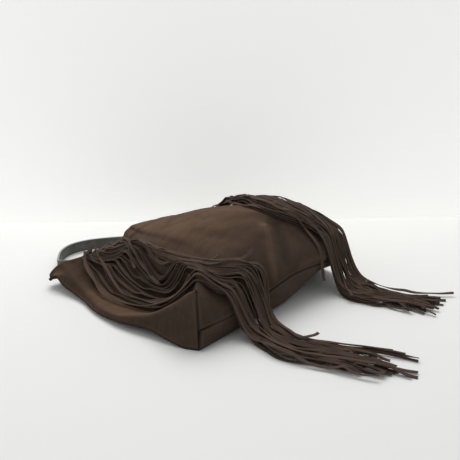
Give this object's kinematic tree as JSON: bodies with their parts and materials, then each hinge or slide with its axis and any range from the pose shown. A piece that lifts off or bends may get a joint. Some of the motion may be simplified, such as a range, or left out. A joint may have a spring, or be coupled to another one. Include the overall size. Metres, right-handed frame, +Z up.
{
  "type": "fringed suede bag",
  "caption": "Soft suede tote with long cut-leather fringes at both sides and leather strap handles, lying on its back with its mouth open.",
  "frame": {"origin": "middle of the flat face of the back panel, which rests on the table", "axes": "+Z up, +Y from the base of the bag to its mouth, +X across the bag's width"},
  "size_m": [0.4184, 0.6952, 0.13],
  "materials": {
    "suede": "matt brushed suede, dark brown",
    "facing": "smooth matt leather, dark brown",
    "strap": "smooth leather, dark grey green, with lighter painted edges",
    "fringe": "cut suede strands, dark brown"
  },
  "bodies": {
    "root": {"front_panel": "suede", "back_panel": "suede", "near_gusset": "suede", "far_gusset": "suede", "front_facing": "facing", "back_facing": "facing", "front_handle": "strap", "back_handle": "strap", "near_fringe": "fringe", "far_fringe": "fringe"}
  },
  "joints": []
}
